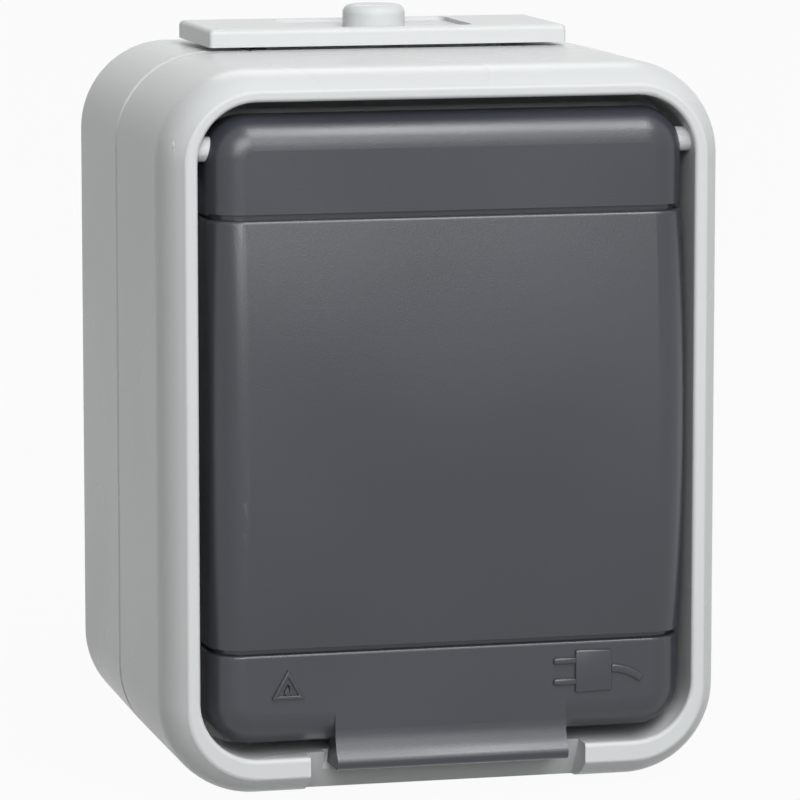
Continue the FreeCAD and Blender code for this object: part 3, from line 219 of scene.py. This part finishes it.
def drawn_metal(name, colour, roughness, stretch):
    """Bare metal with fine lines along one direction."""
    material, tree, shader, add = new_material(name)
    shader.inputs["Metallic"].default_value = 1.0
    slow = object_noise(tree, add, DULL_PATCHES_PER_MM)
    duller = [c * DULL_SHARE for c in colour[:3]] + [1]
    tree.links.new(mixed_colour(tree, add, slow, duller, colour), shader.inputs["Base Color"])
    lines = object_noise(tree, add, LINES_PER_MM, detail=2.0, stretch=stretch)
    tree.links.new(spread(tree, add, lines, roughness - LINE_GLOSS, roughness + LINE_GLOSS),
                   shader.inputs["Roughness"])
    bump = add("ShaderNodeBump")
    bump.inputs["Distance"].default_value = LINE_HEIGHT * MM
    tree.links.new(lines, bump.inputs["Height"])
    tree.links.new(bump.outputs["Normal"], shader.inputs["Normal"])
    return material


contact_brass = drawn_metal("contact_brass", tone(214, 178, 106), roughness=0.3, stretch=(1, 0.1, 1))
dress(contact_brass, "contact_live", "contact_neutral", "clamp_live", "clamp_neutral", "clamp_earth")
bow_steel = drawn_metal("bow_steel", tone(200, 200, 198), roughness=0.28, stretch=(1, 0.08, 0.08))
dress(bow_steel, "earth_bow")
spring_steel = drawn_metal("spring_steel", tone(188, 188, 190), roughness=0.25, stretch=(0.1, 1, 1))
dress(spring_steel, "lid_spring")
screw_steel = drawn_metal("screw_steel", tone(196, 198, 204), roughness=0.3, stretch=(1, 0.1, 1))
dress(screw_steel, "housing_screws", "insert_screws", "face_screw", "clamp_screws")

# %% [markdown]
# ## A raised plug sign on the lid
# Such lids carry a small plug in relief, moulded in one with the lid. Each part of it is first a
# flat face: two thin grids for the pins, a wider one for the body, drawn in a little at the cord's
# end, and an edge that is spun about a far centre for the cord. Solidify then gives them all the
# same thickness, and a bevel softens them, because a moulded edge is never sharp. The sign sits a
# hair into the lid's flat lower strip, so no gap shows round it. The signs are drawn in
# millimetres, and made metres only when they are finished.

# %% Tools for the raised signs
LID_FACE = -55.0
PROUD = 0.38
SUNK = 0.06
SHARP_RADIANS = 0.5
SHADE_SHARP_DEGREES = 40
UPRIGHT = Matrix.Rotation(math.radians(90), 3, "X")


def flat_block(mesh, left, right, low, high):
    """A flat face between two corners in millimetres, and its vertices."""
    corners = bmesh.ops.create_grid(mesh, x_segments=1, y_segments=1, size=0.5)["verts"]
    bmesh.ops.scale(mesh, vec=Vector((right - left, high - low, 1)), verts=corners)
    bmesh.ops.translate(mesh, vec=Vector(((left + right) / 2, (low + high) / 2, 0)), verts=corners)
    return corners


def raise_from_lid(mesh, softness):
    """Stand flat faces upright against the lid, make them thick and bevel all but their sunk edges."""
    bmesh.ops.rotate(mesh, verts=mesh.verts, matrix=UPRIGHT)
    mesh.normal_update()
    bmesh.ops.reverse_faces(mesh, faces=[face for face in mesh.faces if face.normal.y > 0])
    bmesh.ops.solidify(mesh, geom=list(mesh.faces), thickness=PROUD + SUNK)
    front = min(v.co.y for v in mesh.verts)
    bmesh.ops.translate(mesh, vec=Vector((0, LID_FACE - PROUD - front, 0)), verts=mesh.verts)
    bmesh.ops.recalc_face_normals(mesh, faces=mesh.faces)
    sharp = [edge for edge in mesh.edges
             if edge.calc_face_angle(0) > SHARP_RADIANS and min(v.co.y for v in edge.verts) < LID_FACE]
    bmesh.ops.bevel(mesh, geom=sharp, offset=softness, affect="EDGES", segments=3, profile=0.5, material=-1)
    low, high = min(v.co.y for v in mesh.verts), max(v.co.y for v in mesh.verts)
    print("relief from", round(low, 3), "to", round(high, 3), "mm")


def finish_piece(mesh, name, material, body):
    """Turn a bmesh in millimetres into a piece in metres, which rides on a body if one is named."""
    bmesh.ops.scale(mesh, vec=Vector((MM, MM, MM)), verts=mesh.verts)
    data = bpy.data.meshes.new(name)
    mesh.to_mesh(data)
    mesh.free()
    piece = bpy.data.objects.new(name, data)
    bpy.context.scene.collection.objects.link(piece)
    data.materials.append(material)
    data.set_sharp_from_angle(angle=math.radians(SHADE_SHARP_DEGREES))
    if body:
        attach(piece, body)
    print(name, len(data.polygons), "faces")
    return piece


# %% The plug's pins and body
PIN_LEFT = 12.33
PIN_RIGHT = 15.1
PIN_HEIGHTS = ((-27.8, -27.02), (-30.29, -29.5))
BODY_LEFT = 14.95
BODY_RIGHT = 19.42
BODY_LOW = -31.27
BODY_HIGH = -26.12
BODY_CENTRE = -28.7
CORD_END_SHARE = 0.95
plug = bmesh.new()
for low, high in PIN_HEIGHTS:
    flat_block(plug, PIN_LEFT, PIN_RIGHT, low, high)
body_corners = flat_block(plug, BODY_LEFT, BODY_RIGHT, BODY_LOW, BODY_HIGH)
cord_end = [corner for corner in body_corners if corner.co.x > (BODY_LEFT + BODY_RIGHT) / 2]
bmesh.ops.scale(plug, vec=Vector((1, CORD_END_SHARE, 1)), verts=cord_end,
                space=Matrix.Translation((0, -BODY_CENTRE, 0)))

# %% The plug's cord
CORD_CENTRE = Vector((19.115, -34.84, 0))
CORD_RADIUS = 6.35
CORD_HALF_WIDTH = 0.5
CORD_FROM_DEGREES = 88
CORD_TURN_DEGREES = -37
PLUG_SOFTNESS = 0.24
cord_angle = math.radians(CORD_FROM_DEGREES)
start = Vector((math.cos(cord_angle), math.sin(cord_angle), 0))
across = [plug.verts.new(CORD_CENTRE + start * (CORD_RADIUS + side * CORD_HALF_WIDTH)) for side in (-1, 1)]
edge = plug.edges.new(across)
bmesh.ops.spin(plug, geom=across + [edge], cent=CORD_CENTRE, axis=Vector((0, 0, 1)),
               angle=math.radians(CORD_TURN_DEGREES), steps=12, use_merge=False)
raise_from_lid(plug, PLUG_SOFTNESS)
finish_piece(plug, "plug_sign", lid_plastic, "lid")

# %% [markdown]
# ## A splash sign on the lid
# On the other side sits a drop in a triangle, the general sign for a thing that may be splashed.
# The triangle is a circle with three segments, inset to a frame. The drop is a round disc whose
# upper half is drawn up and in towards a point.

# %% Triangle and drop
TRIANGLE_RADIUS = 2.3
FRAME_WIDTH = 0.42
DROP_RADIUS = 0.5
DROP_NARROWING = 0.8
DROP_RISE = 0.45
DROP_IN_TRIANGLE = Vector((0, -0.3, 0))
SPLASH_PLACE = Vector((-19.55, -29.25, 0))
SPLASH_SOFTNESS = 0.14
splash = bmesh.new()
bmesh.ops.create_circle(splash, cap_ends=True, radius=TRIANGLE_RADIUS, segments=3)
inside = splash.faces[:]
bmesh.ops.inset_region(splash, faces=inside, thickness=FRAME_WIDTH, use_even_offset=True,
                       use_boundary=True)
bmesh.ops.delete(splash, geom=inside, context="FACES")
drop = bmesh.ops.create_circle(splash, cap_ends=True, radius=DROP_RADIUS, segments=24)["verts"]
for vertex in drop:
    rise = max(vertex.co.y, 0) / DROP_RADIUS
    vertex.co.x *= 1 - DROP_NARROWING * rise ** 1.5
    vertex.co.y += DROP_RISE * rise ** 2
bmesh.ops.translate(splash, vec=DROP_IN_TRIANGLE, verts=drop)
bmesh.ops.translate(splash, vec=SPLASH_PLACE, verts=splash.verts)
raise_from_lid(splash, SPLASH_SOFTNESS)
finish_piece(splash, "splash_sign", lid_plastic, "lid")

# %% [markdown]
# ## The root of the lip
# The lid's lower edge is rounded, but the lip in the middle of it runs straight down from the flat
# strip before it turns out. This block fills the rounding between the strip and the lip, as wide
# as the lip. Its back, top and foot are inside the lid, so only its front and its ends show.

# %% Lip root
LIP_HALF_WIDTH = 13.9
ROOT_LOW = -34.4
ROOT_HIGH = -32.1
ROOT_DEPTH = 1.1
ROOT_PROUD = 0.003
root = bmesh.new()
block = flat_block(root, -LIP_HALF_WIDTH, LIP_HALF_WIDTH, ROOT_LOW, ROOT_HIGH)
bmesh.ops.rotate(root, verts=block, matrix=UPRIGHT)
bmesh.ops.solidify(root, geom=list(root.faces), thickness=ROOT_DEPTH)
bmesh.ops.recalc_face_normals(root, faces=root.faces)
front = min(v.co.y for v in root.verts)
bmesh.ops.translate(root, vec=Vector((0, LID_FACE - ROOT_PROUD - front, 0)), verts=root.verts)
finish_piece(root, "lip_root", lid_plastic, "lid")

# %% [markdown]
# ## The ends of the hinge pins
# The lid swings on two rods in the housing's upper corners. A rod has a flat end, which would
# stand a fifth of a millimetre out of the rounded corner, so it is dressed off flush. A copy of
# each rod is cut by three planes that touch the corner side by side, and each cut is closed with
# a new face. A point on the corner is given by two angles: one round the corner, seen from the
# front, and one over the bevel, from the side of the box towards its front.

# %% Pins dressed off at the corner
CORNER_ACROSS = 22.5
CORNER_UP = 31.5
CORNER_RADIUS = 11.0
BEVEL_RADIUS = 8.57
BEVEL_START = -47.95
CUT_ANGLES = ((18, 26), (14, 31), (8, 31))
MERGE_WITHIN = 1e-7


def copy_of_solid(name):
    """A copy of a solid's mesh in millimetres, with its loose triangles joined."""
    mesh = bmesh.new()
    mesh.from_mesh(nodes[name].data)
    bmesh.ops.remove_doubles(mesh, verts=mesh.verts, dist=MERGE_WITHIN)
    bmesh.ops.scale(mesh, vec=Vector((1, 1, 1)) / MM, verts=mesh.verts)
    return mesh


def cut_at_corner(mesh, side, round_corner, over_bevel):
    """Cut a mesh in millimetres by the plane that touches the corner's bevel at two angles."""
    turn, climb = math.radians(round_corner), math.radians(over_bevel)
    out = Vector((side * math.cos(turn), 0, math.sin(turn)))
    normal = out * math.cos(climb) + Vector((0, -math.sin(climb), 0))
    centre = Vector((side * CORNER_ACROSS, BEVEL_START, CORNER_UP)) + out * (CORNER_RADIUS - BEVEL_RADIUS)
    parts = mesh.verts[:] + mesh.edges[:] + mesh.faces[:]
    cut = bmesh.ops.bisect_plane(mesh, geom=parts, plane_co=centre + normal * BEVEL_RADIUS,
                                 plane_no=normal, clear_outer=True)["geom_cut"]
    rim = [part for part in cut if isinstance(part, bmesh.types.BMEdge)]
    bmesh.ops.holes_fill(mesh, edges=rim, sides=0)
    print("cut with", len(rim), "edges at", round_corner, over_bevel)


for side, name in ((-1, "hinge_pin_left"), (1, "hinge_pin_right")):
    pin = copy_of_solid(name)
    for round_corner, over_bevel in CUT_ANGLES:
        cut_at_corner(pin, side, round_corner, over_bevel)
    bmesh.ops.recalc_face_normals(pin, faces=pin.faces)
    dressed = finish_piece(pin, name + "_dressed", housing_plastic, "housing")
    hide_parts(name)

# %% [markdown]
# ## The spring that shuts the lid
# A torsion spring sits on the left pin. One leg presses on the deck behind it and the other lies
# in the lid, so when the lid opens the coil winds up between them. Here a copy of the coil, with
# its loose triangles joined, takes the place of the plain one just as it is, on no body, so it
# does not wind. Its wire is 0.7 mm thick.

# %% Spring copied in place of the plain one
coil = copy_of_solid("lid_spring")
wound = finish_piece(coil, "lid_spring_wound", spring_steel, None)
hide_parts("lid_spring")
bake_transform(wound)

# %% [markdown]
# ## Camera
# The photograph was taken from a little over half a metre, from the left and from above, with a
# long lens: the box's side edges stay nearly parallel. The camera stands level, so its
# uprights lean only as much as the view down makes them. Its focal length is given in pixels of
# the photograph, which is 800 pixels wide, and turned into millimetres on the sensor.

# %% Camera
PHOTO_WIDTH = 800
FOCAL_PIXELS = 5146.6
SENSOR_WIDTH = 36.0
camera_data = bpy.data.cameras.new("camera")
camera_data.sensor_width = SENSOR_WIDTH
camera_data.lens = FOCAL_PIXELS / PHOTO_WIDTH * SENSOR_WIDTH
camera_data.clip_start = 0.01
camera_data.clip_end = 50.0
camera = bpy.data.objects.new("camera", camera_data)
camera.location = (-0.14745, -0.62636, 0.08805)
camera.rotation_euler = [math.radians(angle) for angle in (81.888, 0, -13.888)]
bpy.context.scene.collection.objects.link(camera)
bpy.context.scene.camera = camera

# %% [markdown]
# ## A white room
# The photograph has plain white all round. A white floor lit by lamps would need more light than
# the box can take, so the floor shows most of its white only to the camera and to reflections,
# through Light Path, and keeps a faint shadow. The light that the room itself gives is about a
# tenth of that white.

# %% World
ROOM_LIGHT = 0.105
world = bpy.data.worlds.new("room")
bpy.context.scene.world = world
world.use_nodes = True
room = world.node_tree


def seen_directly(tree):
    """1 for rays from the camera, a reflection or a clear piece, and 0 for the light on surfaces."""
    path = tree.nodes.new("ShaderNodeLightPath")
    first = tree.nodes.new("ShaderNodeMath")
    first.operation = "MAXIMUM"
    second = tree.nodes.new("ShaderNodeMath")
    second.operation = "MAXIMUM"
    tree.links.new(path.outputs["Is Camera Ray"], first.inputs[0])
    tree.links.new(path.outputs["Is Glossy Ray"], first.inputs[1])
    tree.links.new(first.outputs[0], second.inputs[0])
    tree.links.new(path.outputs["Is Transmission Ray"], second.inputs[1])
    return second.outputs[0]


background = room.nodes["Background"]
background.inputs["Color"].default_value = (1, 1, 1, 1)
level = room.nodes.new("ShaderNodeMapRange")
level.inputs["To Min"].default_value = ROOM_LIGHT
level.inputs["To Max"].default_value = 1.0
room.links.new(seen_directly(room), level.inputs["Value"])
room.links.new(level.outputs["Result"], background.inputs["Strength"])

# %% Floor
FLOOR_REACH = 6.0
FLOOR_DROP = 0.0005
FLOOR_GREY = 0.28
FLOOR_ROUGHNESS = 0.9
FLOOR_WHITE_SHARE = 0.95
floor_mesh = bmesh.new()
bmesh.ops.create_grid(floor_mesh, x_segments=1, y_segments=1, size=FLOOR_REACH)
bmesh.ops.translate(floor_mesh, vec=Vector((0, 0, lowest.z - FLOOR_DROP)), verts=floor_mesh.verts)
floor_data = bpy.data.meshes.new("floor")
floor_mesh.to_mesh(floor_data)
floor_mesh.free()
floor = bpy.data.objects.new("floor", floor_data)
bpy.context.scene.collection.objects.link(floor)
floor_material, floor_tree, floor_shader, add = new_material("floor_white")
floor_shader.inputs["Base Color"].default_value = (FLOOR_GREY, FLOOR_GREY, FLOOR_GREY, 1)
floor_shader.inputs["Roughness"].default_value = FLOOR_ROUGHNESS
glow = add("ShaderNodeEmission")
glow.inputs["Color"].default_value = (1, 1, 1, 1)
blend = add("ShaderNodeMixShader")
share = add("ShaderNodeMath", operation="MULTIPLY")
share.inputs[1].default_value = FLOOR_WHITE_SHARE
floor_tree.links.new(seen_directly(floor_tree), share.inputs[0])
floor_tree.links.new(share.outputs[0], blend.inputs[0])
floor_tree.links.new(floor_shader.outputs[0], blend.inputs[1])
floor_tree.links.new(glow.outputs[0], blend.inputs[2])
floor_tree.links.new(blend.outputs[0], floor_tree.nodes["Material Output"].inputs["Surface"])
floor_data.materials.append(floor_material)

# %% [markdown]
# ## Soft lamps
# The front of the box is the brightest, its left side is a good deal darker, and a pale band
# runs along the lid's rolled top edge. The main lamp is a wide softbox in front, above and to the
# left, where the lid's flat panel doesn't mirror it. The rolled edge mirrors what lies halfway up
# to the right, so a narrow lamp there draws the band. A third stands behind the box, high enough
# that the housing's top doesn't mirror it to the camera. It lights the top, and the back, which
# the camera doesn't see.

# %% Lamps
AIM_POINT = Vector((0, -0.03, 0))


def softbox(name, place, width, height, watts):
    """A rectangular lamp that points at the middle of the box."""
    lamp_data = bpy.data.lights.new(name, "AREA")
    lamp_data.shape = "RECTANGLE"
    lamp_data.size = width
    lamp_data.size_y = height
    lamp_data.energy = watts
    lamp = bpy.data.objects.new(name, lamp_data)
    lamp.location = place
    aim = AIM_POINT - Vector(place)
    lamp.rotation_euler = aim.to_track_quat("-Z", "Y").to_euler()
    bpy.context.scene.collection.objects.link(lamp)
    print(name, "at", place, "with", watts, "W")


softbox("front_softbox", place=(-0.14, -1.24, 0.55), width=0.8, height=0.7, watts=11.8)
softbox("band_softbox", place=(0.2, -0.51, 0.71), width=0.24, height=0.42, watts=3.9)
softbox("back_softbox", place=(0.15, 1.0, 1.0), width=0.7, height=0.5, watts=3.6)

# %% View
bpy.context.scene.view_settings.view_transform = "Standard"
